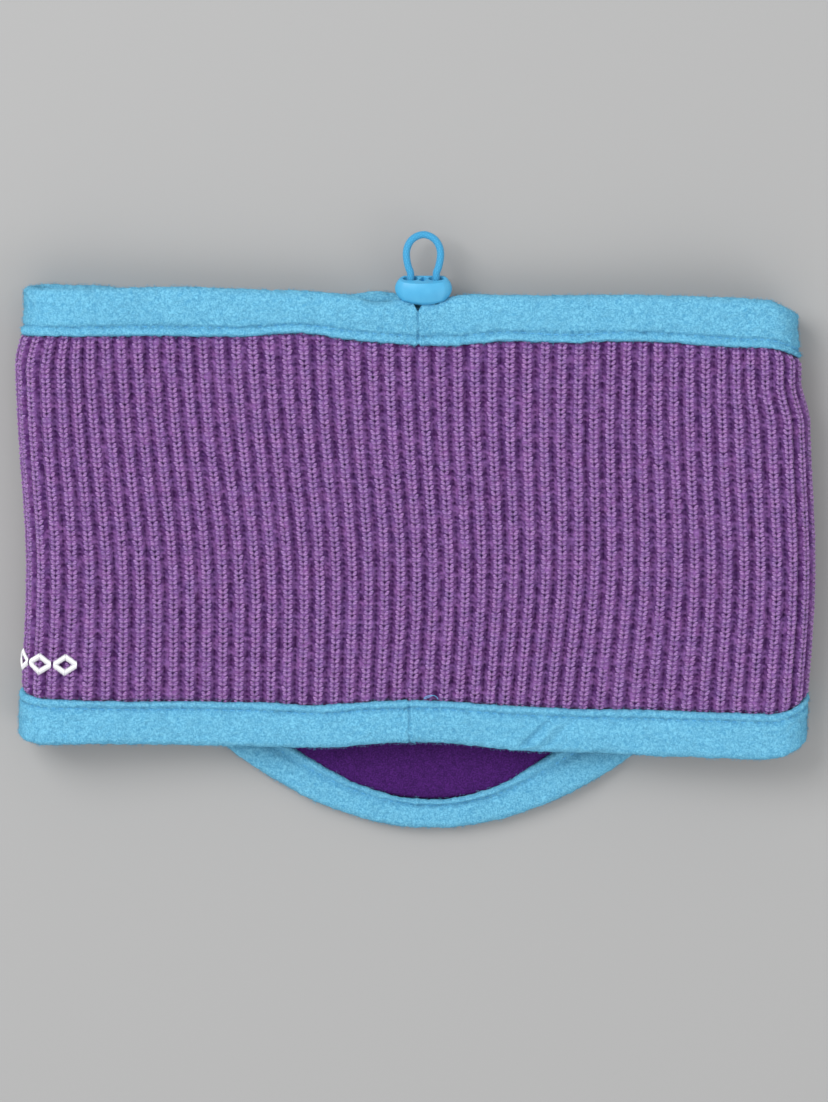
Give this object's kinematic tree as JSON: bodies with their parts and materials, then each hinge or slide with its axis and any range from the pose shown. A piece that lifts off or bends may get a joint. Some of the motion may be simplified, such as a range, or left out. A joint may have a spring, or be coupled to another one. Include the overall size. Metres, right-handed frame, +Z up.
{
  "type": "neck gaiter",
  "caption": "Rib-knit neck gaiter with fleece lining, fleece-bound collar and bib hem, and an elastic drawcord with a two-hole cord lock, lying flat.",
  "frame": {"origin": "middle of the cloth's box in X and Y, on the table it lies on", "axes": "+X across the gaiter, +Y from the hem to the collar, +Z up from the table through the front panel and then the back panel"},
  "size_m": [0.2734, 0.2135, 0.0222],
  "materials": {
    "rib_knit": "two-tone purple rib knit, soft and matt",
    "plum_fleece": "dark plum micro fleece",
    "blue_fleece": "sky-blue brushed fleece",
    "blue_thread": "polyester sewing thread",
    "elastic_cord": "braided sleeve on an elastic core",
    "lock_plastic": "satin moulded plastic",
    "spring_steel": "drawn wire",
    "white_thread": "glossy embroidery thread",
    "label_tape": "woven satin tape"
  },
  "bodies": {
    "gaiter": {"knit_shell": "rib_knit", "fleece_lining": "plum_fleece", "collar_band": "blue_fleece", "hem_band": "blue_fleece", "collar_needle_thread": "blue_thread", "collar_bobbin_thread": "blue_thread", "hem_needle_thread": "blue_thread", "hem_bobbin_thread": "blue_thread", "drawcord": "elastic_cord", "embroidered_motif": "white_thread", "care_label": "label_tape"},
    "cord_loop": {"drawcord_loop": "elastic_cord"},
    "cord_lock": {"cord_lock_housing": "lock_plastic", "cord_lock_spring": "spring_steel"},
    "lock_button": {"cord_lock_button": "lock_plastic"}
  },
  "joints": [
    {"name": "cord_draw", "type": "slide", "parent": "gaiter", "child": "cord_loop", "axis": [0, 1, 0], "range_m": [0, 0.008]},
    {"name": "lock_slide", "type": "slide", "parent": "gaiter", "child": "cord_lock", "axis": [0, 1, 0], "range_m": [0, 0.004]},
    {"name": "button_press", "type": "slide", "parent": "cord_lock", "child": "lock_button", "axis": [0, 0, 1], "range_m": [0, 0.0012], "stiffness_N_per_m": 400, "deforming": ["cord_lock_spring"]}
  ]
}
